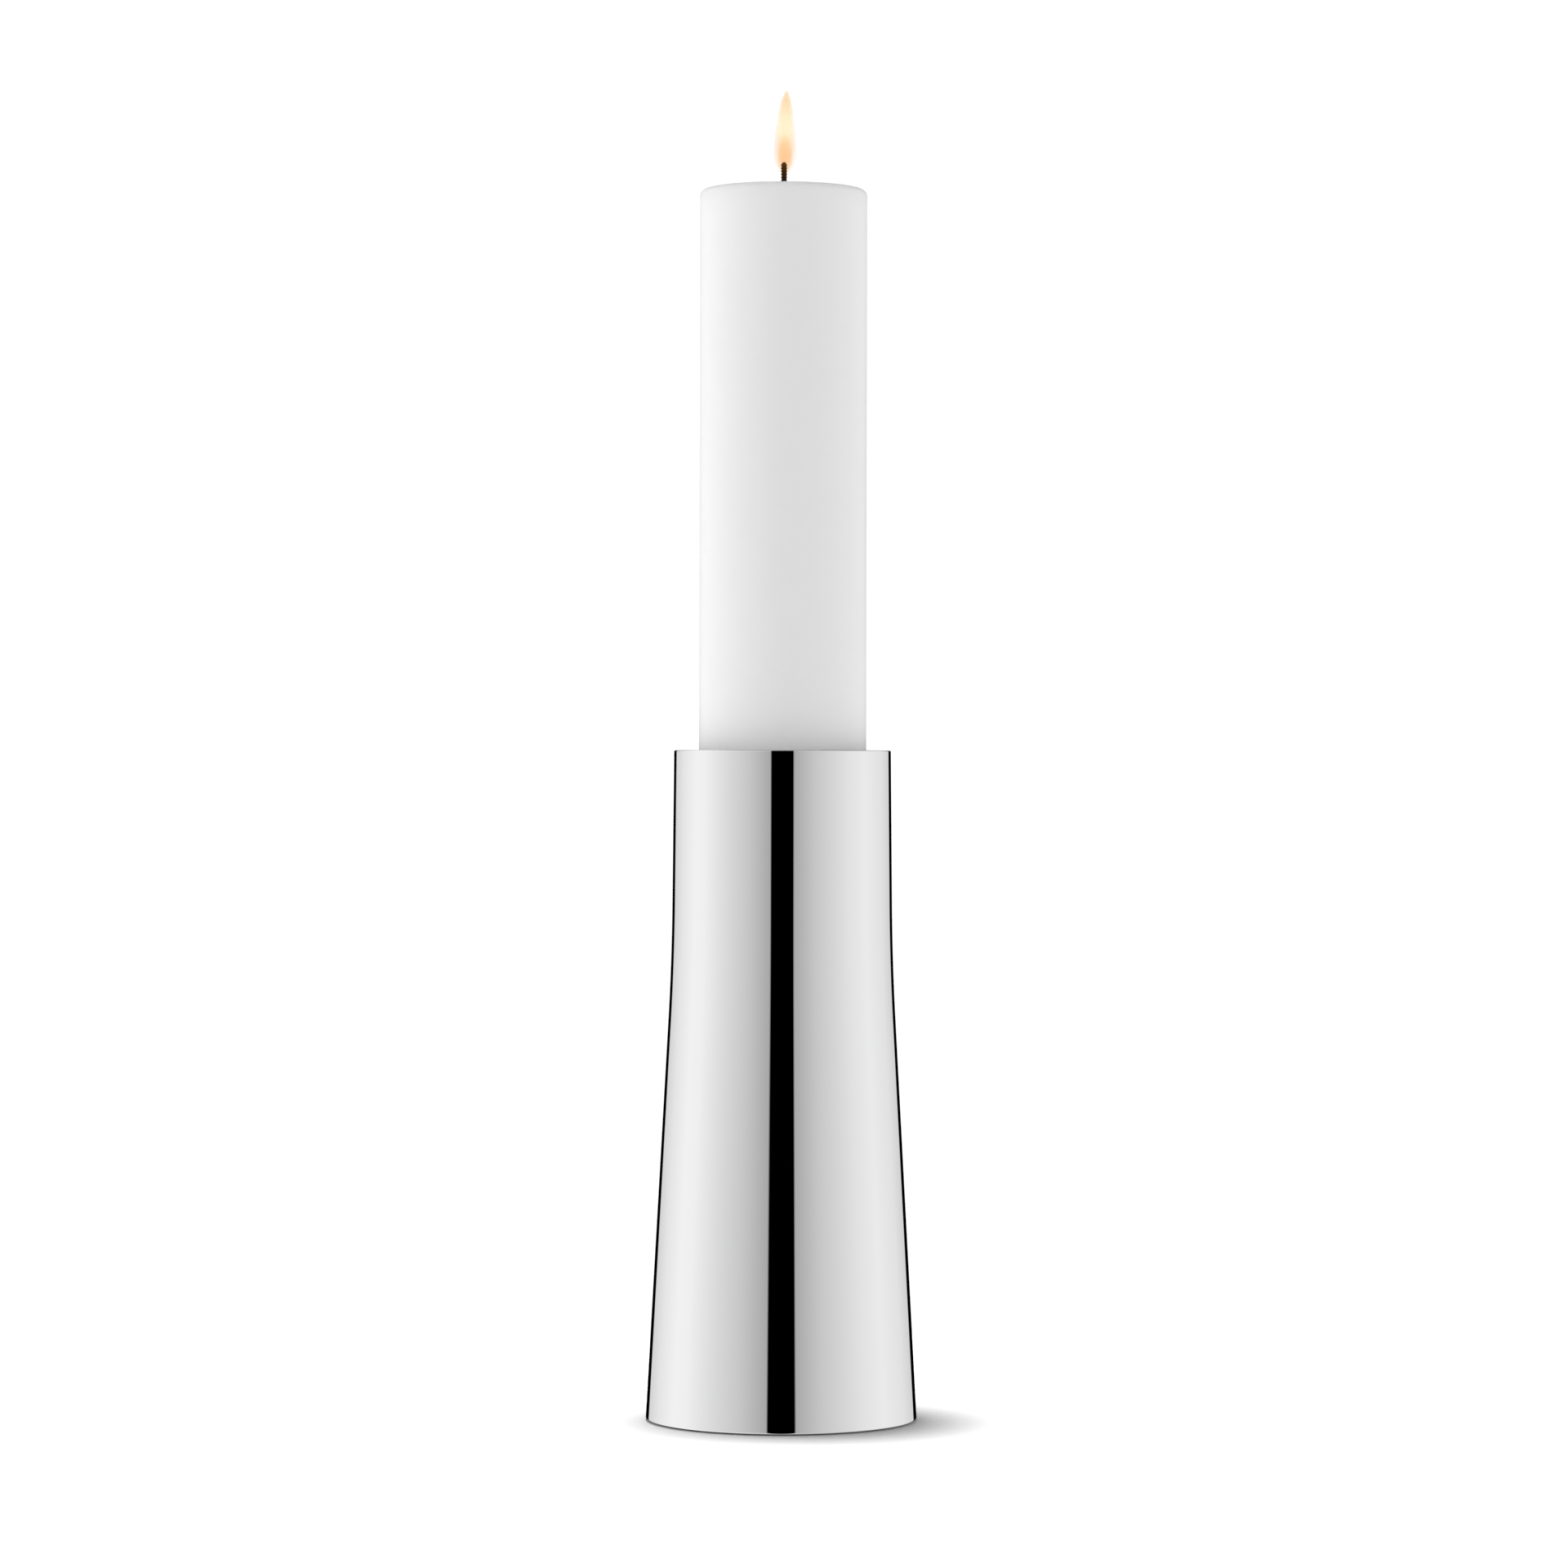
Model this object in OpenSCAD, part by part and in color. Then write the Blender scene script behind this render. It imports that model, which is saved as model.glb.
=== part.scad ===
// Pillar-candle holder: a flared tube of mirror-polished stainless steel that stands on a weighted base.
// A drawn cup hangs in the mouth on a welded ledge, and one tie rod clamps the cup, the tube, the
// ballast and the base plate together. The candle lifts straight out of the cup.
// Frame: origin at the centre of the foot, where it meets the table, +Z up, millimetres.

/* [Tube] */
// Height of the rim above the table
rim_z = 200; // [190:1:230]
// Outer diameter at the rim
rim_d = 64.8; // [63.5:0.1:66]
// Outer diameter where the two straight stretches would meet
bend_d = 66; // [65.5:0.1:68]
// Height where the two straight stretches would meet
bend_z = 137; // [120:1:150]
// Radius of the soft bend between the neck and the flare
bend_radius = 750; // [200:10:900]
// Outer diameter at the foot
base_d = 81; // [76:0.5:90]
// Sheet thickness of the tube
wall = 1.5; // [1.2:0.1:1.6]

/* [Candle] */
// Diameter of the candle
candle_d = 50; // [44:0.5:50.5]
// Length of the candle
candle_l = 200; // [100:5:300]
// Radius of the candle's top edge
candle_edge = 2; // [1:0.5:4]
// Length of wick above the wax
wick_out = 9; // [4:0.5:12]
// Diameter of the wick
wick_d = 1.8; // [1.2:0.1:3]

/* [Cup] */
// Inner diameter of the cup that holds the candle
cup_d = 51.2; // [50.8:0.1:51.6]
// Depth of the cup's floor below the rim
cup_depth = 32.4; // [25:0.1:40]
// Depth of the wax-catching flange below the rim
flange_drop = 4.4; // [3:0.1:6]
// Sheet thickness of the cup
cup_t = 1; // [0.8:0.1:1.2]

/* [Base] */
// How far the foot pad stands below the tube's edge
foot_gap = 0.5; // [0.3:0.1:1]
// Thickness of the foot pad
pad_t = 2; // [1.5:0.1:3]
// Diameter of the cast ballast
ballast_d = 60; // [40:1:64]
// Height of the cast ballast
ballast_h = 14; // [8:1:40]

/* [Hidden] */
$fn = 96;

steel = [0.80, 0.81, 0.82];
satin_steel = [0.62, 0.63, 0.64];
zinc = [0.70, 0.71, 0.68];
cast_iron = [0.20, 0.20, 0.21];
silicone = [0.75, 0.76, 0.77];
black_rubber = [0.05, 0.05, 0.055];
wax = [0.93, 0.93, 0.92];
charred = [0.10, 0.06, 0.03];

// Tube: the neck leans in by neck_deg and the flare by flare_deg, and an arc joins them.
rim_r = rim_d / 2;
bend_r = bend_d / 2;
base_r = base_d / 2;
neck_deg = atan((bend_r - rim_r) / (rim_z - bend_z));
flare_deg = atan((base_r - bend_r) / (bend_z - foot_gap));
bend_run = bend_radius * tan((flare_deg - neck_deg) / 2);
bend_steps = 16;
rim_round = 0.3;
foot_round = 0.4;

// Cup: heights of its floor and flange, and its drawn corners.
floor_z = rim_z - cup_depth;
flange_z = rim_z - flange_drop;
cup_r = cup_d / 2;
mouth_round = 2;
floor_round = 1.5;
flange_clear = 0.2;
gasket_t = 0.8;
gasket_w = 2.4;
gasket_clear = 0.3;
ledge_t = 1;
ledge_h = 4;
ledge_w = 3;
ledge_z = flange_z - cup_t - gasket_t;
slip = 0.1;

// M5 socket screws, M5 and M8 washers, M8 nut.
screw_r = 2.5;
socket_r = 3 / 2 / cos(30);
socket_depth = 2;
csk_head_r = 5;
csk_depth = csk_head_r - screw_r;
button_head_r = 4.75;
button_head_h = 2.75;
button_face_r = 3.15;
button_land = 1;
thread_depth = 15;
thread_clear = 0.02;
tip_gap = 2;
washer_m5 = [2.65, 5, 1];
washer_m8 = [4.2, 8, 1.6];
nut_r = 13 / 2 / cos(30);
nut_h = 6.5;
rod_r = 4;

// Base: the plate's raised centre takes the screw's head. Its upper face stands hat_out wider.
plate_t = 2;
plate_clear = 0.3;
screw_clear = 0.2;
base_ledge_w = 4;
plate_z = pad_t;
plate_top = plate_z + plate_t;
hat_rise = 3.5;
hat_r = 8;
hat_slope = 1.6;
hat_out = 1.6;
plate_r = tube_inner(plate_top) - plate_clear;
ballast_r = ballast_d / 2;
ballast_edge = 1.5;
bore_clear = 0.5;
relief_clear = 1;
ballast_top = plate_top + ballast_h;
pad_r = plate_r - 1;
pad_hole_r = 9.5;

// Wick and melt pool.
candle_r = candle_d / 2;
candle_top = floor_z + candle_l;
candle_foot = 2;
wick_r = wick_d / 2;
pool_r = 13;
pool_depth = 1.2;

// Tie rod: from the raised centre of the plate to the underside of the cup's dimple.
rod_z = plate_top + hat_rise;
dimple_bottom = floor_z - csk_depth - cup_t - slip;
rod_top = dimple_bottom;

// Radius of the tube's outer and inner faces at a height away from the bend.
function tube_outer(z) = z > bend_z
    ? bend_r - (z - bend_z) * tan(neck_deg)
    : bend_r + (bend_z - z) * tan(flare_deg);
function tube_inner(z) = tube_outer(z) - wall;

// Points of an arc about [x, y], from angle a to angle b.
function arc(x, y, r, a, b, steps = 8) =
    [for (i = [0:steps]) let (t = a + (b - a) * i / steps) [x + r * cos(t), y + r * sin(t)]];
function shifted(points, dx) = [for (p = points) [p[0] + dx, p[1]]];
function reversed(points) = [for (i = [len(points) - 1:-1:0]) points[i]];

// The soft bend, going up. Its centre lies outside the tube.
bend_x = bend_r + bend_run * sin(flare_deg) + bend_radius * cos(flare_deg);
bend_y = bend_z - bend_run * cos(flare_deg) + bend_radius * sin(flare_deg);
bend = arc(bend_x, bend_y, bend_radius, 180 + flare_deg, 180 + neck_deg, bend_steps);

module ring(inner, outer, z, h) {
    translate([0, 0, z])
        difference() {
            cylinder(r = outer, h = h);
            translate([0, 0, -1]) cylinder(r = inner, h = h + 2);
        }
}

module hex_socket(z, h) {
    translate([0, 0, z]) cylinder(r = socket_r, h = h, $fn = 6);
}

// Flared tube with its sawn ends ground square and their edges broken.
module tube() {
    color(steel)
        rotate_extrude()
            polygon(concat(
                arc(base_r - foot_round, foot_gap + foot_round, foot_round, -90, 0, 4),
                bend,
                arc(rim_r - rim_round, rim_z - rim_round, rim_round, 0, 90, 4),
                arc(rim_r - wall + rim_round, rim_z - rim_round, rim_round, 90, 180, 4),
                reversed(shifted(bend, -wall)),
                [[base_r - wall, foot_gap]]));
}

// Angle ring welded inside the neck, with its flat leg on top.
module cup_ledge() {
    r = tube_inner(ledge_z) - slip;
    color(satin_steel)
        union() {
            ring(r - ledge_w, r, ledge_z - ledge_t, ledge_t);
            ring(r - ledge_t, r, ledge_z - ledge_h, ledge_h - ledge_t);
        }
}

// Flat silicone ring that keeps the cup from rattling on its ledge.
module cup_gasket() {
    r = tube_inner(ledge_z) - gasket_clear;
    color(silicone) ring(r - gasket_w, r, ledge_z, gasket_t);
}

// Drawn cup with a rolled mouth, a flange that catches wax and a dimple for its screw.
module candle_cup() {
    hole_r = screw_r + slip;
    dimple_r = hole_r + csk_depth;
    flange_r = tube_inner(flange_z) - flange_clear;
    corner_r = cup_r - floor_round;
    mouth_r = cup_r + mouth_round;
    color(satin_steel)
        rotate_extrude()
            polygon(concat(
                [[hole_r, dimple_bottom], [hole_r, floor_z - csk_depth], [dimple_r, floor_z]],
                arc(corner_r, floor_z + floor_round, floor_round, -90, 0),
                arc(mouth_r, flange_z - mouth_round, mouth_round, 180, 90),
                [[flange_r, flange_z], [flange_r, flange_z - cup_t]],
                arc(mouth_r, flange_z - mouth_round, mouth_round - cup_t, 90, 180),
                arc(corner_r, floor_z + floor_round, floor_round + cup_t, 0, -90),
                [[dimple_r + cup_t, floor_z - cup_t], [hole_r + cup_t, dimple_bottom]]));
}

// Countersunk screw, flush with the cup's floor, that pulls the cup down onto its ledge.
module cup_screw() {
    head_top = floor_z - slip;
    neck_z = head_top - csk_depth;
    tip_z = rod_top - thread_depth + tip_gap;
    color(zinc)
        difference() {
            union() {
                translate([0, 0, neck_z]) cylinder(r1 = screw_r, r2 = csk_head_r, h = csk_depth);
                translate([0, 0, tip_z]) cylinder(r = screw_r, h = neck_z - tip_z);
            }
            hex_socket(head_top - socket_depth, socket_depth + 1);
        }
}

// Round rod, tapped at both ends.
module tie_rod() {
    color(zinc)
        difference() {
            translate([0, 0, rod_z]) cylinder(r = rod_r, h = rod_top - rod_z);
            translate([0, 0, rod_z - 1]) cylinder(r = screw_r, h = thread_depth + 1);
            translate([0, 0, rod_top - thread_depth]) cylinder(r = screw_r, h = thread_depth + 1);
        }
}

// Hexagon nut on the rod that holds the ballast down.
module ballast_nut() {
    color(zinc)
        difference() {
            translate([0, 0, ballast_top + washer_m8[2]]) cylinder(r = nut_r, h = nut_h, $fn = 6);
            translate([0, 0, ballast_top]) cylinder(r = rod_r + thread_clear, h = nut_h + 5);
        }
}

module ballast_washer() {
    color(zinc) ring(washer_m8[0], washer_m8[1], ballast_top, washer_m8[2]);
}

// Cast disc with rounded edges, bored for the rod and relieved under for the plate's raised centre.
module ballast() {
    relief_r = hat_r + hat_slope + hat_out + relief_clear;
    relief_h = hat_rise + relief_clear;
    bore_r = rod_r + bore_clear;
    edge_x = ballast_r - ballast_edge;
    color(cast_iron)
        rotate_extrude()
            polygon(concat(
                [[relief_r, plate_top]],
                arc(edge_x, plate_top + ballast_edge, ballast_edge, -90, 0, 6),
                arc(edge_x, ballast_top - ballast_edge, ballast_edge, 0, 90, 6),
                [[bore_r, ballast_top], [bore_r, plate_top + relief_h],
                 [relief_r, plate_top + relief_h]]));
}

// Angle ring welded inside the foot; the plate is drawn up against its flat leg.
module base_ledge() {
    r = tube_inner(plate_top + ledge_h) - slip;
    color(satin_steel)
        union() {
            ring(r - base_ledge_w, r, plate_top, ledge_t);
            ring(r - ledge_t, r, plate_top + ledge_t, ledge_h - ledge_t);
        }
}

// Pressed plate that closes the foot, with its centre raised over the screw's head.
module base_plate() {
    hole_r = screw_r + screw_clear;
    color(satin_steel)
        rotate_extrude()
            polygon([
                [hole_r, plate_z + hat_rise], [hat_r, plate_z + hat_rise],
                [hat_r + hat_slope, plate_z], [plate_r, plate_z],
                [plate_r, plate_top], [hat_r + hat_slope + hat_out, plate_top],
                [hat_r + hat_out, plate_top + hat_rise], [hole_r, plate_top + hat_rise]]);
}

module base_washer() {
    color(zinc) ring(washer_m5[0], washer_m5[1], plate_z + hat_rise - washer_m5[2], washer_m5[2]);
}

// Button-head screw from below into the rod.
module base_screw() {
    head_top = plate_z + hat_rise - washer_m5[2];
    face_z = head_top - button_head_h;
    tip_z = rod_z + thread_depth - tip_gap;
    color(zinc)
        difference() {
            union() {
                translate([0, 0, face_z])
                    cylinder(r1 = button_face_r, r2 = button_head_r, h = button_head_h - button_land);
                translate([0, 0, head_top - button_land]) cylinder(r = button_head_r, h = button_land);
                translate([0, 0, head_top]) cylinder(r = screw_r, h = tip_z - head_top);
            }
            hex_socket(face_z - 1, socket_depth + 1);
        }
}

// Rubber pad glued under the plate, with a hole that leaves the screw within reach.
module foot_pad() {
    color(black_rubber) ring(pad_hole_r, pad_r, 0, pad_t);
}

// Wax pillar with rounded edges, a shallow melt pool and a bore for the wick.
module candle() {
    pool_curve = (pool_r * pool_r + pool_depth * pool_depth) / 2 / pool_depth;
    pool_half = asin(pool_r / pool_curve);
    bore_half = asin(wick_r / pool_curve);
    pool_y = candle_top - pool_depth + pool_curve;
    color(wax)
        rotate_extrude()
            polygon(concat(
                [[wick_r, floor_z]],
                arc(candle_r - candle_foot, floor_z + candle_foot, candle_foot, -90, 0),
                arc(candle_r - candle_edge, candle_top - candle_edge, candle_edge, 0, 90),
                arc(0, pool_y, pool_curve, -90 + pool_half, -90 + bore_half, 12)));
}

// Braided cotton cord that runs the length of the candle and stands out of the pool.
module wick() {
    start = floor_z + 1;
    tip = candle_top + wick_out;
    color(charred)
        rotate_extrude()
            polygon(concat(
                [[0, start], [wick_r, start]],
                arc(0, tip - wick_r, wick_r, 0, 90, 6)));
}

tube();
cup_ledge();
cup_gasket();
candle_cup();
cup_screw();
tie_rod();
ballast_nut();
ballast_washer();
ballast();
base_ledge();
base_plate();
base_washer();
base_screw();
foot_pad();
candle();
wick();
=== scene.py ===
# Flared candlestick in polished steel with its pillar candle lit. The script follows the real assembly:
# tube, cup and its ledge, tie rod and ballast, base, candle, wick, flame, then the table and the studio.
# Everything is in metres in the frame of the CAD model: Z up, the foot's centre at the origin, front at -Y.
import math

import bmesh
import bpy
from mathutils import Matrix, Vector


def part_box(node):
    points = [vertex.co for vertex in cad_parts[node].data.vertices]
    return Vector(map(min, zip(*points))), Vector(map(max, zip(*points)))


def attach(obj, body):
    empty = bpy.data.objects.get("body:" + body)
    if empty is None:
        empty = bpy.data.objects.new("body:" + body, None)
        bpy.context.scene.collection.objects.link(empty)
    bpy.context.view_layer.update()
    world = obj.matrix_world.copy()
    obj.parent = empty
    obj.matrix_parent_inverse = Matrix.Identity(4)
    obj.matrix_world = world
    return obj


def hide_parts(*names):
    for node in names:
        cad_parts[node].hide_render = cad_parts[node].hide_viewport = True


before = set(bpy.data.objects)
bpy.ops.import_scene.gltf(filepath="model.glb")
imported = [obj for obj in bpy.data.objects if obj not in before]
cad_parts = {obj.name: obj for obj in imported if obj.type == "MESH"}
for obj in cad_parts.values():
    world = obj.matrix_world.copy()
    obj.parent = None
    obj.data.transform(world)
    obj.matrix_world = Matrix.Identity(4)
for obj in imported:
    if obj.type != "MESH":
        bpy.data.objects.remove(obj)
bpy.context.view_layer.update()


# --- Tube -----------------------------------------------------------------------------------------------
# One length of stainless tube, swaged out below the middle to a flared foot and polished to a mirror.
# Its sawn ends are ground square, and a polishing mop has broken their edges.
tube_low, tube_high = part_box("tube")
foot_r = tube_high.x
rim_r = 0.0324
rim_z = tube_high.z
bend_r = 0.033
bend_z = 0.137
bend_curve = 0.75
tube_wall = 0.0015
foot_edge = 0.0004
rim_edge = 0.0003


def rounded(corners, closed=True, steps=8, guard=0.00008):
    """An outline through corners (radius, height, rounding). Each rounded corner becomes an arc, with a
    guard point on the straight just before and after it, so that the long faces keep their own shading."""
    outline = []
    count = len(corners)
    for i, (x, z, rounding) in enumerate(corners):
        if rounding == 0 or (not closed and i in (0, count - 1)):
            outline.append((x, z))
            continue
        before, after = corners[i - 1], corners[(i + 1) % count]
        a = math.atan2(before[1] - z, before[0] - x)
        b = math.atan2(after[1] - z, after[0] - x)
        opening = (b - a + math.pi) % math.tau - math.pi
        reach = rounding / math.tan(abs(opening) / 2)
        middle = a + opening / 2
        centre_x = x + math.cos(middle) * rounding / math.sin(abs(opening) / 2)
        centre_z = z + math.sin(middle) * rounding / math.sin(abs(opening) / 2)
        turn = math.pi - abs(opening)
        side = 1 if opening > 0 else -1
        start = a - side * math.pi / 2
        guarded = reach + guard
        outline.append((x + guarded * math.cos(a), z + guarded * math.sin(a)))
        for k in range(steps + 1):
            angle = start - side * turn * k / steps
            outline.append((centre_x + rounding * math.cos(angle), centre_z + rounding * math.sin(angle)))
        outline.append((x + guarded * math.cos(b), z + guarded * math.sin(b)))
    return outline


def lathe(name, outline, segments=192, closed=True, sharp_deg=50):
    """A smooth solid turned about the Z axis from an outline of (radius, height) points."""
    shape = bmesh.new()
    rings = []
    for radius, height in outline:
        if radius < 1e-7:
            rings.append([shape.verts.new((0, 0, height))])
            continue
        rings.append([
            shape.verts.new((
                radius * math.sin(math.tau * k / segments),
                -radius * math.cos(math.tau * k / segments),
                height,
            ))
            for k in range(segments)
        ])
    pairs = list(zip(rings, rings[1:]))
    if closed:
        pairs.append((rings[-1], rings[0]))
    for lower, upper in pairs:
        for k in range(segments):
            n = (k + 1) % segments
            below = [lower[k % len(lower)], lower[n % len(lower)]]
            above = [upper[n % len(upper)], upper[k % len(upper)]]
            corners = list(dict.fromkeys(below + above))
            if len(corners) > 2:
                shape.faces.new(corners)
    bmesh.ops.recalc_face_normals(shape, faces=shape.faces)
    mesh = bpy.data.meshes.new(name)
    shape.to_mesh(mesh)
    shape.free()
    mesh.shade_smooth()
    mesh.set_sharp_from_angle(angle=math.radians(sharp_deg))
    made = bpy.data.objects.new(name, mesh)
    bpy.context.scene.collection.objects.link(made)
    return made


def linear(hex_colour):
    """The linear RGBA of an sRGB colour such as #C8C9CA."""
    parts = [int(hex_colour[i:i + 2], 16) / 255 for i in (1, 3, 5)]
    return [c / 12.92 if c <= 0.04045 else ((c + 0.055) / 1.055) ** 2.4 for c in parts] + [1.0]


def add(tree, kind, settings, links=None):
    """Adds a shader node. settings holds its properties, socket values and ramp stops, and links holds the
    sources of its inputs."""
    made = tree.nodes.new("ShaderNode" + kind)
    for key, value in settings.items():
        if key == "stops":
            ramp = made.color_ramp.elements
            while len(ramp) < len(value):
                ramp.new(0.5)
            for stop, (place, colour) in zip(ramp, value):
                stop.position = place
                stop.color = colour
        elif isinstance(key, int) or key in made.inputs:
            made.inputs[key].default_value = value
        else:
            setattr(made, key, value)
    for key, source in (links or {}).items():
        tree.links.new(source, made.inputs[key])
    return made


def material(name):
    """A new material with only its output, its node tree, and where a point lies on the piece, in metres."""
    made = bpy.data.materials.new(name)
    made.use_nodes = True
    made.node_tree.nodes.clear()
    output = add(made.node_tree, "OutputMaterial", {})
    place = add(made.node_tree, "TexCoord", {})
    return made, made.node_tree, output, place.outputs["Object"]


# Stainless steel polished with a sisal mop and then with rouge. To the eye it is a neutral mirror, with
# hairlines round the tube that only soften the reflections. They are under 0.1 mm apart, too fine to show,
# so they are drawn 0.4 mm apart and 33 mm long. The cloth has left patches 35 mm wide a little less bright.
hairline = 0.0004
hairline_run = 0.0333
wiped_patch = 0.035
polished_stainless, tree, output, place = material("polished_stainless")
stretched = add(tree, "Mapping", {"Scale": (1 / hairline_run, 1 / hairline_run, 1 / hairline)},
                {"Vector": place})
lines = add(tree, "TexNoise", {"Scale": 1, "Detail": 3, "Roughness": 0.6}, {"Vector": stretched.outputs[0]})
wiped = add(tree, "TexNoise", {"Scale": 1 / wiped_patch, "Detail": 2}, {"Vector": place})
line_gloss = add(tree, "MapRange", {"To Min": 0.004, "To Max": 0.014}, {"Value": lines.outputs[0]})
wiped_gloss = add(tree, "MapRange", {"From Min": 0.55, "From Max": 0.8, "To Min": 0, "To Max": 0.015},
                  {"Value": wiped.outputs[0]})
gloss = add(tree, "Math", {"operation": "ADD"}, {0: line_gloss.outputs[0], 1: wiped_gloss.outputs[0]})
relief = add(tree, "Bump", {"Strength": 0.1, "Distance": 0.0000004}, {"Height": lines.outputs[0]})
steel = add(tree, "BsdfPrincipled", {"Base Color": linear("#D8D8D9"), "Metallic": 1},
            {"Roughness": gloss.outputs[0], "Normal": relief.outputs[0]})
tree.links.new(steel.outputs[0], output.inputs["Surface"])

polished_tube = lathe("polished_tube", rounded([
    (foot_r, tube_low.z, foot_edge),
    (bend_r, bend_z, bend_curve),
    (rim_r, rim_z, rim_edge),
    (rim_r - tube_wall, rim_z, rim_edge),
    (bend_r - tube_wall, bend_z, bend_curve),
    (foot_r - tube_wall, tube_low.z, foot_edge),
], steps=12), segments=256)
polished_tube.data.materials.append(polished_stainless)
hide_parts("tube")
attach(polished_tube, "holder")


# --- Cup and its ledge ----------------------------------------------------------------------------------
# The cup is drawn from 1 mm stainless sheet, with a rolled mouth and a flange that catches wax. It hangs
# from an angle ring that is spot-welded inside the neck, on a flat ring of silicone.
def cover(node, finish):
    """Gives a CAD node its finish."""
    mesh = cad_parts[node].data
    mesh.materials.clear()
    mesh.materials.append(finish)


# Drawn and turned stainless, left satin. The eye sees fine rings about the axis that stretch each highlight,
# and a faint haze. The turning marks are 0.1 mm apart, so they are drawn 0.3 mm apart to show.
ring_pitch = 0.0003
haze = 0.01667
satin_stainless, tree, output, place = material("satin_stainless")
flat = add(tree, "VectorMath", {"operation": "MULTIPLY", 1: (1, 1, 0)}, {0: place})
radius = add(tree, "VectorMath", {"operation": "LENGTH"}, {0: flat.outputs[0]})
parts = add(tree, "SeparateXYZ", {}, {0: place})
along = add(tree, "Math", {"operation": "ADD"}, {0: radius.outputs["Value"], 1: parts.outputs["Z"]})
pitch = add(tree, "Math", {"operation": "MULTIPLY", 1: 1 / ring_pitch}, {0: along.outputs[0]})
rings = add(tree, "TexNoise", {"noise_dimensions": "1D", "Scale": 1, "Detail": 4}, {"W": pitch.outputs[0]})
cloud = add(tree, "TexNoise", {"Scale": 1 / haze, "Detail": 3}, {"Vector": place})
gloss = add(tree, "MapRange", {"To Min": 0.2, "To Max": 0.42}, {"Value": rings.outputs[0]})
tone = add(tree, "ValToRGB", {"stops": [(0.3, linear("#B4B4B3")), (0.7, linear("#C9C9C8"))]},
           {0: cloud.outputs[0]})
relief = add(tree, "Bump", {"Strength": 0.35, "Distance": 0.00001}, {"Height": rings.outputs[0]})
steel = add(tree, "BsdfPrincipled", {"Metallic": 1},
            {"Base Color": tone.outputs[0], "Roughness": gloss.outputs[0], "Normal": relief.outputs[0]})
tree.links.new(steel.outputs[0], output.inputs["Surface"])

# Punched silicone sheet. The eye sees a cloudy grey with a waxy softness and a faint sheet grain.
sheet_grain = 0.0004
silicone_sheet, tree, output, place = material("silicone_sheet")
grain = add(tree, "TexNoise", {"Scale": 1 / sheet_grain, "Detail": 2}, {"Vector": place})
gloss = add(tree, "MapRange", {"To Min": 0.4, "To Max": 0.6}, {"Value": grain.outputs[0]})
relief = add(tree, "Bump", {"Strength": 0.3, "Distance": 0.00002}, {"Height": grain.outputs[0]})
rubber = add(tree, "BsdfPrincipled", {
    "Base Color": linear("#D2D4D5"), "IOR": 1.41, "Subsurface Weight": 0.4, "Subsurface Scale": 0.001,
}, {"Roughness": gloss.outputs[0], "Normal": relief.outputs[0]})
tree.links.new(rubber.outputs[0], output.inputs["Surface"])

cover("cup_ledge", satin_stainless)
cover("cup_gasket", silicone_sheet)
cover("candle_cup", satin_stainless)


# --- Tie rod, ballast and fasteners ---------------------------------------------------------------------
# One steel rod, tapped at both ends, clamps cup, tube and base plate together, and its nut holds down a
# cast-iron disc. The rod, the nut, the washers and the screws are bought parts, zinc-plated.

# Bright zinc plate. The eye sees a cool grey that clouds a little from spot to spot, without grain.
spangle = 0.0015
zinc_plate, tree, output, place = material("zinc_plate")
cloud = add(tree, "TexNoise", {"Scale": 1 / spangle, "Detail": 5}, {"Vector": place})
tone = add(tree, "ValToRGB", {"stops": [(0.35, linear("#BCC1C2")), (0.65, linear("#CFD2CE"))]},
           {0: cloud.outputs[0]})
gloss = add(tree, "MapRange", {"To Min": 0.28, "To Max": 0.46}, {"Value": cloud.outputs[0]})
relief = add(tree, "Bump", {"Strength": 0.2, "Distance": 0.00002}, {"Height": cloud.outputs[0]})
plate = add(tree, "BsdfPrincipled", {"Metallic": 1},
            {"Base Color": tone.outputs[0], "Roughness": gloss.outputs[0], "Normal": relief.outputs[0]})
tree.links.new(plate.outputs[0], output.inputs["Surface"])

# Grey iron cast in green sand and left raw. The eye sees a dark, dull skin with the print of the sand.
sand_grain = 0.0005
mould_patch = 0.00833
sand_cast_iron, tree, output, place = material("sand_cast_iron")
grains = add(tree, "TexVoronoi", {"Scale": 1 / sand_grain}, {"Vector": place})
patches = add(tree, "TexNoise", {"Scale": 1 / mould_patch, "Detail": 6, "Roughness": 0.7}, {"Vector": place})
tone = add(tree, "ValToRGB", {"stops": [(0.3, linear("#2B2B2C")), (0.7, linear("#454443"))]},
           {0: patches.outputs[0]})
gloss = add(tree, "MapRange", {"To Min": 0.62, "To Max": 0.85}, {"Value": patches.outputs[0]})
relief = add(tree, "Bump", {"Strength": 0.6, "Distance": 0.0001}, {"Height": grains.outputs["Distance"]})
iron = add(tree, "BsdfPrincipled", {"Metallic": 0.7},
           {"Base Color": tone.outputs[0], "Roughness": gloss.outputs[0], "Normal": relief.outputs[0]})
tree.links.new(iron.outputs[0], output.inputs["Surface"])

for fastener in ("cup_screw", "tie_rod", "ballast_nut", "ballast_washer", "base_washer", "base_screw"):
    cover(fastener, zinc_plate)
cover("ballast", sand_cast_iron)


# --- Base -----------------------------------------------------------------------------------------------
# A pressed stainless plate is drawn up against a second angle ring inside the foot. A moulded rubber ring
# is glued under it, with grooves that grip the table, and its hole leaves the screw within reach.
pad_low, pad_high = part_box("foot_pad")
pad_hole_r = 0.0095
pad_edge = 0.0003
groove_pitch = 0.004
groove_w = 0.0012
groove_depth = 0.0005

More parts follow.
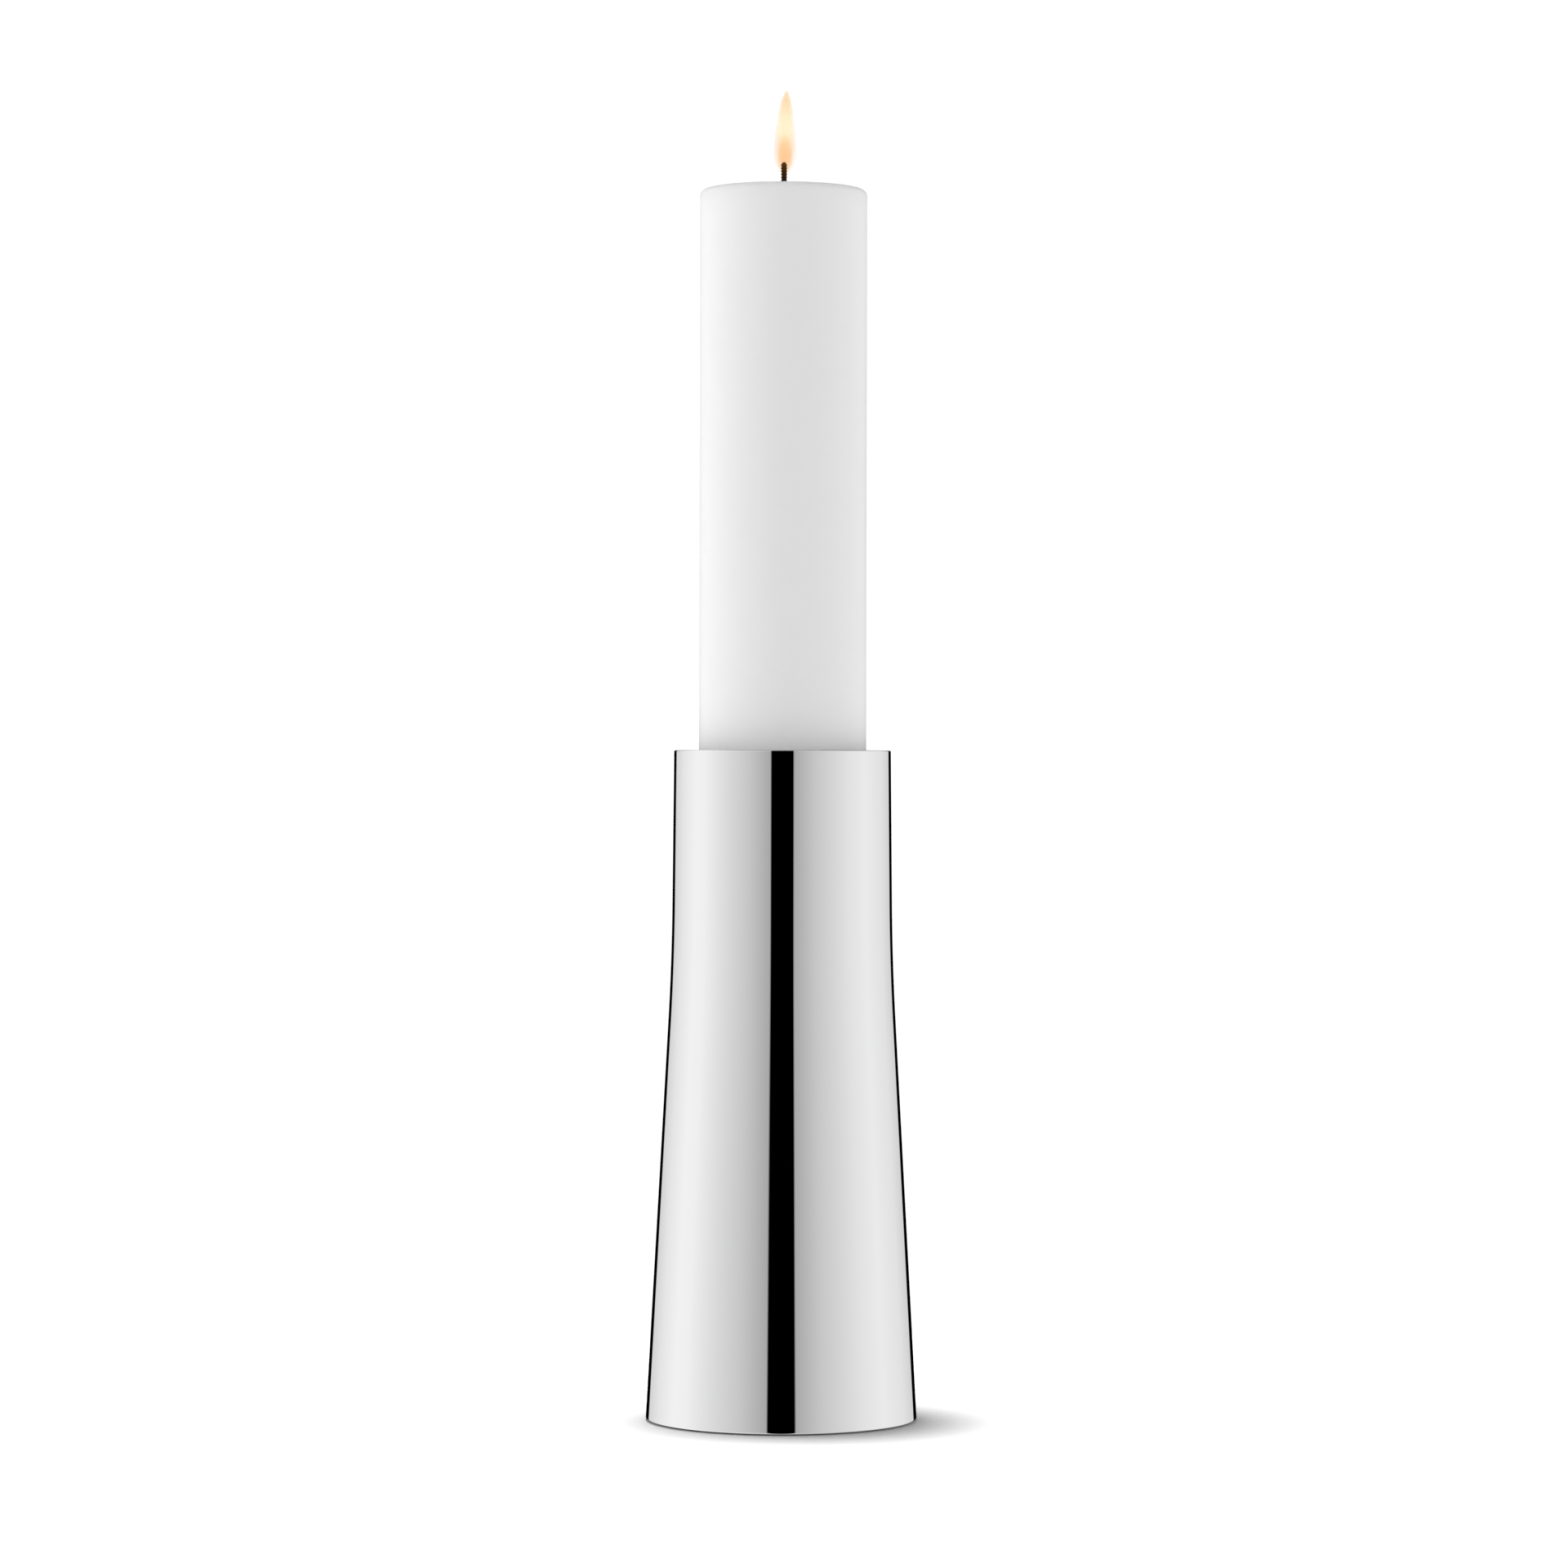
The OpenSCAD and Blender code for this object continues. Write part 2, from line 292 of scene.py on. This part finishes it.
# Moulded black rubber. The eye sees a matt near-black with a fine bloom from the mould.
bloom_patch = 0.00143
moulded_rubber, tree, output, place = material("moulded_rubber")
bloom = add(tree, "TexNoise", {"Scale": 1 / bloom_patch, "Detail": 6, "Roughness": 0.7}, {"Vector": place})
tone = add(tree, "ValToRGB", {"stops": [(0.35, linear("#131313")), (0.7, linear("#222223"))]},
           {0: bloom.outputs[0]})
gloss = add(tree, "MapRange", {"To Min": 0.65, "To Max": 0.9}, {"Value": bloom.outputs[0]})
relief = add(tree, "Bump", {"Strength": 0.3, "Distance": 0.00004}, {"Height": bloom.outputs[0]})
rubber = add(tree, "BsdfPrincipled", {"IOR": 1.52},
             {"Base Color": tone.outputs[0], "Roughness": gloss.outputs[0], "Normal": relief.outputs[0]})
tree.links.new(rubber.outputs[0], output.inputs["Surface"])

pad_corners = [(pad_hole_r, pad_high.z, pad_edge), (pad_hole_r, pad_low.z, pad_edge)]
groove_x = pad_hole_r + groove_pitch
while groove_x < pad_high.x - groove_pitch / 2:
    pad_corners += [
        (groove_x, pad_low.z, groove_depth / 4),
        (groove_x + groove_w / 4, pad_low.z + groove_depth, groove_depth / 4),
        (groove_x + groove_w * 3 / 4, pad_low.z + groove_depth, groove_depth / 4),
        (groove_x + groove_w, pad_low.z, groove_depth / 4),
    ]
    groove_x += groove_pitch
pad_corners += [(pad_high.x, pad_low.z, pad_edge), (pad_high.x, pad_high.z, pad_edge)]
rubber_pad = lathe("rubber_pad", rounded(pad_corners, steps=3, guard=0.00003), segments=128)
rubber_pad.data.materials.append(moulded_rubber)
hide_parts("foot_pad")
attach(rubber_pad, "holder")
cover("base_ledge", satin_stainless)
cover("base_plate", satin_stainless)


# --- Candle ---------------------------------------------------------------------------------------------
# A pillar of white paraffin wax, pressed and dipped smooth. It stands loose in the cup. The flame has
# melted a shallow dish in its top, whose edge is never quite round, and liquid wax stands in the dish.
candle_low, candle_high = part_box("candle")
candle_r = candle_high.x
candle_edge = 0.002
dish_r = 0.013
dish_floor_r = dish_r * 0.8
dish_depth = 0.0012
dish_round = 0.004
lip_round = 0.0006
fade_width = 0.006
pool_level = candle_high.z - 0.0005
pool_climb = [(0, 0.0003), (0.0012, 0.00018), (0.002, 0.00004), (0.0032, 0)]
side_rows = 48


def unround(angle):
    """The share by which the dish is off round at an angle, a few percent."""
    return 0.035 * math.sin(2 * angle + 0.6) + 0.02 * math.sin(3 * angle + 2.1) + 0.008 * math.sin(7 * angle)


# Paraffin wax, a soft white. Light spreads about a centimetre through it and comes out again, so its shading
# is milky, and the dipped skin has a low sheen and the faintest waves and pits.
wave = 0.009
pit = 0.0011
light_spread = 0.012
paraffin_wax, tree, output, place = material("paraffin_wax")
waves = add(tree, "TexNoise", {"Scale": 1 / wave, "Detail": 3}, {"Vector": place})
pits = add(tree, "TexNoise", {"Scale": 1 / pit, "Detail": 2}, {"Vector": place})
tone = add(tree, "ValToRGB", {"stops": [(0.3, linear("#F8F8F7")), (0.7, linear("#FBFBFA"))]},
           {0: waves.outputs[0]})
gloss = add(tree, "MapRange", {"To Min": 0.38, "To Max": 0.55}, {"Value": pits.outputs[0]})
skin = add(tree, "Bump", {"Strength": 0.1, "Distance": 0.0001}, {"Height": waves.outputs[0]})
relief = add(tree, "Bump", {"Strength": 0.1, "Distance": 0.00003},
             {"Height": pits.outputs[0], "Normal": skin.outputs[0]})
wax = add(tree, "BsdfPrincipled", {
    "IOR": 1.43, "Subsurface Weight": 1, "Subsurface Radius": (1, 1, 1), "Subsurface Scale": light_spread,
}, {"Base Color": tone.outputs[0], "Roughness": gloss.outputs[0], "Normal": relief.outputs[0]})
tree.links.new(wax.outputs[0], output.inputs["Surface"])

# The same wax, molten. The eye sees a wet, level shine over a slightly darker wax, with slow swirls.
swirl = 0.004
molten_wax, tree, output, place = material("molten_wax")
cloud = add(tree, "TexNoise", {"Scale": 1 / swirl, "Detail": 2, "Distortion": 0.6}, {"Vector": place})
tone = add(tree, "ValToRGB", {"stops": [(0.3, linear("#DAD8D2")), (0.7, linear("#E6E4DF"))]},
           {0: cloud.outputs[0]})
gloss = add(tree, "MapRange", {"To Min": 0.03, "To Max": 0.07}, {"Value": cloud.outputs[0]})
ripple = add(tree, "Bump", {"Strength": 0.05, "Distance": 0.0002}, {"Height": cloud.outputs[0]})
wet = add(tree, "BsdfPrincipled", {"IOR": 1.43},
          {"Base Color": tone.outputs[0], "Roughness": gloss.outputs[0], "Normal": ripple.outputs[0]})
tree.links.new(wet.outputs[0], output.inputs["Surface"])

side_high = candle_high.z - candle_edge * 2
side_low = candle_low.z + candle_edge * 2
side = [(candle_r, side_high + (side_low - side_high) * k / side_rows, 0) for k in range(side_rows + 1)]
wax_pillar = lathe("wax_pillar", rounded([
    (0, candle_high.z - dish_depth, 0),
    (dish_floor_r, candle_high.z - dish_depth, dish_round),
    (dish_r, candle_high.z, lip_round),
    (candle_r, candle_high.z, candle_edge),
    *side,
    (candle_r, candle_low.z, candle_edge),
    (0, candle_low.z, 0),
], closed=False), closed=False)
# The dish is a little off round, and the candle's own edge is true.
for vertex in wax_pillar.data.vertices:
    x, y, z = vertex.co
    distance = math.hypot(x, y)
    if z > candle_high.z - candle_edge and distance < candle_r - candle_edge:
        fade = min(1, (candle_r - candle_edge - distance) / fade_width)
        stretch = 1 + unround(math.atan2(y, x)) * fade
        vertex.co = (x * stretch, y * stretch, z)
wax_pillar.data.materials.append(paraffin_wax)
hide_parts("candle")
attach(wax_pillar, "candle")

# The liquid climbs a little way up the wick, and it fills the dish to its uneven edge.
liquid_wax = lathe("liquid_wax", [
    *[(radius, pool_level + climb) for radius, climb in pool_climb],
    (dish_r * 0.6, pool_level), (dish_r * 0.88, pool_level),
    (dish_r * 0.9, pool_level - 0.0003), (0, pool_level - 0.0005),
], closed=False)
for vertex in liquid_wax.data.vertices:
    x, y, z = vertex.co
    if math.hypot(x, y) > dish_r / 2:
        stretch = 1 + unround(math.atan2(y, x))
        vertex.co = (x * stretch, y * stretch, z)
liquid_wax.data.materials.append(molten_wax)
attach(liquid_wax, "candle")


# --- Wick -----------------------------------------------------------------------------------------------
# A braided cotton cord cast into the candle. The end that stands out of the pool has charred black, and it
# has swollen, leaned over a little and burnt to a round tip that still glows.
wick_low, wick_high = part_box("wick")
wick_tip = wick_high.z - 0.0007
char_low = pool_level - 0.002
braid_low_r = 0.00073
braid_high_r = 0.00087
strands_each_way = 4
strand_pitch = 0.0036
strand_r = 0.00023
strand_end_r = 0.00006
weave_depth = strand_r * 0.35
core_share = 0.72
core_end_r = 0.00008
tip_round = 0.0009
braid_rows = 90
strand_sides = 8
core_sides = 16
off_centre = 0.0001
curl = 0.0012


def wick_radius(z):
    """Radius of the charred cord at a height: it swells upwards and closes in a round tip."""
    share = (z - char_low) / (wick_tip - char_low)
    swell = braid_low_r + (braid_high_r - braid_low_r) * min(1, share * 1.2)
    below_tip = min(1, max(0.0, wick_tip - z) / tip_round)
    return swell * math.sqrt(below_tip * (2 - below_tip))


def wick_centre(z):
    """Where the cord's middle is at a height: the charred end curls forward, as a braided wick does."""
    share = max(0.0, (z - char_low) / (wick_tip - char_low))
    return off_centre * min(1, share * 4), -curl * share * share


# Cotton yarn, charred. The eye sees matt black char at the pool that turns to brown ember near the tip,
# broken up by the yarn's own fibres. They are 0.02 mm thick, so they are drawn 0.2 mm thick to show.
fibre = 0.0002
charred_cotton, tree, output, place = material("charred_cotton")
parts = add(tree, "SeparateXYZ", {}, {0: place})
height = add(tree, "MapRange", {"From Min": pool_level, "From Max": wick_tip}, {"Value": parts.outputs["Z"]})
fibres = add(tree, "TexNoise", {"Scale": 1 / fibre, "Detail": 3}, {"Vector": place})
mixed = add(tree, "Math", {"operation": "MULTIPLY_ADD", 1: 0.35},
            {0: fibres.outputs[0], 2: height.outputs[0]})
tone = add(tree, "ValToRGB", {"stops": [
    (0.1, linear("#1E1510")), (0.5, linear("#2E1C0C")), (0.8, linear("#43280C")), (1, linear("#50310F")),
]}, {0: mixed.outputs[0]})
ember = add(tree, "ValToRGB", {"stops": [
    (0.45, linear("#000000")), (0.85, linear("#180C02")), (1, linear("#201203")),
]}, {0: mixed.outputs[0]})
relief = add(tree, "Bump", {"Strength": 0.5, "Distance": 0.00005}, {"Height": fibres.outputs[0]})
char = add(tree, "BsdfPrincipled", {
    "Roughness": 0.92, "IOR": 1.45, "Specular IOR Level": 0.15, "Emission Strength": 1,
}, {"Base Color": tone.outputs[0], "Emission Color": ember.outputs[0], "Normal": relief.outputs[0]})
tree.links.new(char.outputs[0], output.inputs["Surface"])


def tube_along(shape, points, radii, sides):
    """Adds a closed tube to shape along points that climb, with a radius for each of them."""
    rings = []
    turns = [math.tau * k / sides for k in range(sides)]
    for (x, y, z), r in zip(points, radii):
        around = [(x + r * math.cos(turn), y + r * math.sin(turn), z) for turn in turns]
        rings.append([shape.verts.new(point) for point in around])
    for lower, upper in zip(rings, rings[1:]):
        for k in range(sides):
            n = (k + 1) % sides
            shape.faces.new((lower[k], lower[n], upper[n], upper[k]))
    shape.faces.new(reversed(rings[0]))
    shape.faces.new(rings[-1])


# Half of the strands wind one way and half the other, over and under each other, round a straight core.
braid = bmesh.new()
heights = [char_low + (wick_tip - char_low) * k / braid_rows for k in range(braid_rows + 1)]
for way in (1, -1):
    for strand in range(strands_each_way):
        points = []
        radii = []
        for z in heights:
            turn = way * math.tau * ((z - char_low) / strand_pitch + strand / strands_each_way)
            weave = math.cos(strands_each_way * turn) * way * weave_depth
            thick = strand_r * min(1, wick_radius(z) / braid_low_r)
            across = max(0.0, wick_radius(z) - thick + weave)
            x, y = wick_centre(z)
            points.append((x + across * math.cos(turn), y + across * math.sin(turn), z - thick * 0.3))
            radii.append(max(strand_end_r, thick))
        tube_along(braid, points, radii, strand_sides)
core_heights = [wick_low.z, char_low] + heights[1:-2]
core_radii = [max(core_end_r, wick_radius(max(z, char_low)) * core_share) for z in core_heights]
tube_along(braid, [(*wick_centre(z), z) for z in core_heights], core_radii, core_sides)
braid_mesh = bpy.data.meshes.new("braided_wick")
braid.to_mesh(braid_mesh)
braid.free()
braid_mesh.shade_smooth()
braided_wick = bpy.data.objects.new("braided_wick", braid_mesh)
bpy.context.scene.collection.objects.link(braided_wick)
braided_wick.data.materials.append(charred_cotton)
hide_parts("wick")
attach(braided_wick, "candle")


# --- Flame ----------------------------------------------------------------------------------------------
# Burning wax vapour, 26 mm tall, that climbs from the back of the curled wick. A pale luminous mantle stands
# round a peach-coloured inner zone. Each is a nest of thin glowing skins, so its edge fades as gas does.
flame_low = wick_tip - 0.0042
flame_high = wick_tip + 0.0217
flame_r = 0.0035
flame_fullness = 1.5
inner_low = wick_tip - 0.0026
inner_high = wick_tip + 0.0088
inner_r = 0.0023
inner_fullness = 2.6
widest = 0.3
tip_taper = 0.6
behind_wick = 0.0018
beside_wick, drift = 0.0003, 0.0005
skin_rows = 28
pole_inset = 0.08


def teardrop(low, high, radius, fullness):
    """A flame's outline, from its lower pole to its upper one, widest low down and blunter with fullness."""
    outline = []
    for k in range(skin_rows + 1):
        share = (1 - math.cos(math.pi * k / skin_rows)) / 2
        if share <= widest:
            r = math.sqrt(max(0.0, 1 - (1 - share / widest) ** 2))
        else:
            r = max(0.0, 1 - ((share - widest) / (1 - widest)) ** fullness) ** tip_taper
        outline.append((radius * r, low + (high - low) * share))
    outline[0] = (0, low)
    outline[-1] = (0, high)
    return outline


def flame_centre(z):
    """Where the flame's middle is at a height: behind the wick below, and a little to the right above."""
    share = (z - flame_low) / (flame_high - flame_low)
    return beside_wick + drift * share * share, behind_wick * (1 - share) ** 2


def grey(value):
    """The RGBA of a neutral tone of this brightness."""
    return (value, value, value, 1)


def glowing_gas(name, low, high, colours, density):
    """A skin of soot-laden gas, which glows. The eye sees its own light, coloured and filled by height, and
    whatever is behind it, because it passes most light and has no surface that shines."""
    gas, tree, output, place = material(name)
    parts = add(tree, "SeparateXYZ", {}, {0: place})
    height = add(tree, "MapRange", {"From Min": low, "From Max": high}, {"Value": parts.outputs["Z"]})
    glow = add(tree, "ValToRGB", {"stops": [(share, linear(tint)) for share, tint, _ in colours]},
               {0: height.outputs[0]})
    filled = add(tree, "ValToRGB", {"stops": [(share, grey(fill * density)) for share, _, fill in colours]},
                 {0: height.outputs[0]})
    skin = add(tree, "BsdfPrincipled", {
        "Base Color": grey(0), "Roughness": 1, "Specular IOR Level": 0, "Emission Strength": 1,
    }, {"Emission Color": glow.outputs[0], "Alpha": filled.outputs[0]})
    tree.links.new(skin.outputs[0], output.inputs["Surface"])
    return gas


veil_colours = [
    (0.0, "#FFDDC4", 0.2), (0.22, "#FFD9BC", 0.7), (0.4, "#FFDEC8", 0.8), (0.65, "#FFE6CC", 0.6),
    (0.85, "#FFDDB0", 0.9), (1.0, "#FFDCAC", 0.5),
]
mantle_colours = [
    (0.0, "#FFD9B4", 0.2), (0.2, "#FFD3A4", 0.4), (0.36, "#FFDDA8", 0.7), (0.5, "#FEF8C8", 1),
    (0.68, "#FEF4C4", 1), (0.78, "#FEE3B2", 1), (0.9, "#FDDAA6", 1), (1.0, "#FCDAB0", 0.7),
]
inner_colours = [(0.0, "#FFCB90", 0.6), (0.35, "#FFBE70", 1), (0.7, "#FEC076", 1), (1.0, "#FFD99C", 0.6)]
veil_skins = [(1.0, 0.16), (0.93, 0.14)]
mantle_skins = [(0.85, 0.2), (0.74, 0.22), (0.6, 0.22), (0.44, 0.22)]
inner_skins = [(1.0, 0.14), (0.86, 0.18), (0.7, 0.22), (0.52, 0.26), (0.34, 0.26)]
for zone, low, high, radius, fullness, colours, skins in (
    ("veil", flame_low, flame_high, flame_r, flame_fullness, veil_colours, veil_skins),
    ("mantle", flame_low, flame_high, flame_r, flame_fullness, mantle_colours, mantle_skins),
    ("inner", inner_low, inner_high, inner_r, inner_fullness, inner_colours, inner_skins),
):
    for number, (share, density) in enumerate(skins):
        inset = (high - low) * (1 - share) * pole_inset
        outline = teardrop(low + inset, high - inset, radius * share, fullness)
        skin = lathe(f"flame_{zone}_{number + 1}", outline, segments=64, closed=False)
        for vertex in skin.data.vertices:
            x, y, z = vertex.co
            centre_x, centre_y = flame_centre(z)
            vertex.co = (x + centre_x, y + centre_y, z)
        skin.data.materials.append(glowing_gas(f"{zone}_gas_{number + 1}", low, high, colours, density))
        skin.visible_shadow = False
        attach(skin, "candle")


# --- Table ----------------------------------------------------------------------------------------------
# A round sheet of pale paper under the holder, seen from above only. Just the shadow on it is wanted, so it
# is left out of the steel's reflections and throws no light back.
table_r = 0.25
table = lathe("table", [(table_r, 0), (0, 0)], segments=128, closed=False)

# Uncoated white paper. The eye sees a flat white, hardly mottled by its fibres, and no shine.
paper_fibre = 0.00111
pale_paper, tree, output, place = material("pale_paper")
mottle = add(tree, "TexNoise", {"Scale": 1 / paper_fibre, "Detail": 4}, {"Vector": place})
tone = add(tree, "ValToRGB", {"stops": [(0.3, linear("#AEAEAE")), (0.7, linear("#B2B2B2"))]},
           {0: mottle.outputs[0]})
paper = add(tree, "BsdfPrincipled", {"Roughness": 0.9, "Specular IOR Level": 0},
            {"Base Color": tone.outputs[0]})
facing = add(tree, "NewGeometry", {})
open_below = add(tree, "BsdfTransparent", {})
sheet = add(tree, "MixShader", {}, {0: facing.outputs["Backfacing"], 1: paper.outputs[0],
                                    2: open_below.outputs[0]})
tree.links.new(sheet.outputs[0], output.inputs["Surface"])
table.data.materials.append(pale_paper)
table.visible_glossy = False
table.visible_diffuse = False
table.visible_shadow = False

# A soft lamp hangs close over the candle, a little to the left and behind, and lights only the table. The
# candle hides part of it on every side, so the shadow stands all round the foot, and longer on the right.
lamp_place = (-0.006, 0.0075, 0.708)
lamp_width = 0.05
lamp_watts = 14.4
only_table = bpy.data.collections.new("only_table")
only_table.objects.link(table)
lamp_data = bpy.data.lights.new("overhead_lamp", "AREA")
lamp_data.shape = "DISK"
lamp_data.size = lamp_width
lamp_data.energy = lamp_watts
overhead = bpy.data.objects.new("overhead_lamp", lamp_data)
overhead.location = lamp_place
bpy.context.scene.collection.objects.link(overhead)
overhead.light_linking.receiver_collection = only_table


# --- Studio ---------------------------------------------------------------------------------------------
# White card stands all round the object, brightest at both sides. The camera looks through a dark slit in
# front, and two black flags stand behind, either side of a white backdrop, and draw the steel's dark edges.
# Big soft cards lean over it from the front and the left, with the top left open and dark. More lie below.
card_white = 1.3
slit = 12.2
flag_from, flag_to = 154.4, 176
card = [
    (-flag_from, 0.82), (-140, 0.98), (-128, 1.11), (-104, 1.28), (-89, 1.255), (-74, 1.13), (-60, 1.01),
    (-35, 0.81), (-slit, 0.56), (slit, 0.57), (35, 0.82), (60, 1.0), (74, 1.1), (98, 1.2), (128, 1.07),
    (flag_from, 0.8),
]
soft_edge = 0.25
backdrop = 0.95
leaning_front, leaning_left = 2.94, 2.27
lying_front, lying_left, lying_right = 0.37, 1.54, 1.0


def card_share(degrees):
    """Where a bearing from the camera's side lies along the ramp that holds the card's brightness."""
    return degrees / 360 + 0.5


stops = [(0, grey(backdrop / card_white)), (card_share(-flag_to), grey(backdrop / card_white)),
         (card_share(soft_edge - flag_to), grey(0)), (card_share(-flag_from - soft_edge), grey(0))]
for degrees, brightness in card:
    stops.append((card_share(degrees), grey(brightness / card_white)))
    if degrees == -slit:
        stops += [(card_share(soft_edge - slit), grey(0)), (card_share(slit - soft_edge), grey(0))]
stops += [(card_share(flag_from + soft_edge), grey(0)), (card_share(flag_to - soft_edge), grey(0)),
          (card_share(flag_to), grey(backdrop / card_white))]

world = bpy.data.worlds.new("studio")
world.use_nodes = True
bpy.context.scene.world = world
tree = world.node_tree
tree.nodes.clear()
direction = add(tree, "TexCoord", {}).outputs["Generated"]
parts = add(tree, "SeparateXYZ", {}, {0: direction})
front = add(tree, "Math", {"operation": "MULTIPLY", 1: -1}, {0: parts.outputs["Y"]})
bearing = add(tree, "Math", {"operation": "ARCTAN2"}, {0: parts.outputs["X"], 1: front.outputs[0]})
around = add(tree, "MapRange", {"From Min": -math.pi, "From Max": math.pi}, {"Value": bearing.outputs[0]})
ring = add(tree, "ValToRGB", {"stops": stops}, {0: around.outputs[0]})
ring_light = add(tree, "MixRGB", {"blend_type": "MULTIPLY", 0: 1, 2: grey(card_white)}, {1: ring.outputs[0]})
aside = add(tree, "Math", {"operation": "ABSOLUTE"}, {0: bearing.outputs[0]})
past_slit = add(tree, "MapRange", {
    "From Min": math.radians(slit - soft_edge), "From Max": math.radians(slit),
}, {"Value": aside.outputs[0]})


def soft_card(towards, brightness, others=None):
    """The light of one big soft card, brightest towards a direction and dark opposite, and of the others."""
    facing = add(tree, "VectorMath", {"operation": "DOT_PRODUCT", 1: towards}, {0: direction})
    share = add(tree, "Math", {"operation": "MULTIPLY_ADD", 1: 0.5, 2: 0.5}, {0: facing.outputs["Value"]})
    faded = add(tree, "Math", {"operation": "POWER", 1: 2}, {0: share.outputs[0]})
    lit = add(tree, "Math", {"operation": "MULTIPLY_ADD", 1: brightness, 2: 0}, {0: faded.outputs[0]})
    if others is not None:
        tree.links.new(others, lit.inputs[2])
    return lit.outputs[0]


to_front, to_left, to_right = (0, -1, 0), (-1, 0, 0), (1, 0, 0)
leaning = soft_card(to_front, leaning_front, soft_card(to_left, leaning_left))
open_top = add(tree, "MapRange", {"From Min": 0.9, "From Max": 0.5, "interpolation_type": "SMOOTHSTEP"},
               {"Value": parts.outputs["Z"]})
above = add(tree, "Math", {"operation": "MULTIPLY"}, {0: leaning, 1: open_top.outputs[0]})
lying = soft_card(to_front, lying_front, soft_card(to_left, lying_left, soft_card(to_right, lying_right)))
below = add(tree, "Math", {"operation": "MULTIPLY"}, {0: lying, 1: past_slit.outputs[0]})
under = add(tree, "MapRange", {"From Min": 0.2, "From Max": -0.3}, {"Value": parts.outputs["Z"]})
dome = add(tree, "MixRGB", {}, {0: under.outputs[0], 1: above.outputs[0], 2: below.outputs[0]})
steepness = add(tree, "Math", {"operation": "ABSOLUTE"}, {0: parts.outputs["Z"]})
past_card = add(tree, "MapRange", {"From Min": 0.35, "From Max": 0.75, "interpolation_type": "SMOOTHSTEP"},
                {"Value": steepness.outputs[0]})
seen = add(tree, "MixRGB", {}, {0: past_card.outputs[0], 1: ring_light.outputs[0], 2: dome.outputs[0]})
studio_light = add(tree, "Background", {}, {0: seen.outputs[0]})
white_paper = add(tree, "Background", {"Color": grey(1), "Strength": 1.05})
path = add(tree, "LightPath", {})
both = add(tree, "MixShader", {}, {0: path.outputs["Is Camera Ray"], 1: studio_light.outputs[0],
                                   2: white_paper.outputs[0]})
output = add(tree, "OutputWorld", {}, {0: both.outputs[0]})

# The camera is level with the tube's rim and far off, with a long lens.
lens = 120
camera_place = (0.00046, -1.563, 0.19)
roll = -0.12
camera_data = bpy.data.cameras.new("camera")
camera_data.lens = lens
camera = bpy.data.objects.new("camera", camera_data)
camera.location = camera_place
camera.rotation_euler = (math.radians(90), math.radians(roll), 0)
bpy.context.scene.collection.objects.link(camera)
bpy.context.scene.camera = camera
bpy.context.scene.view_settings.view_transform = "Standard"
bpy.context.scene.cycles.transparent_max_bounces = 48
bpy.context.scene.cycles.caustics_reflective = True
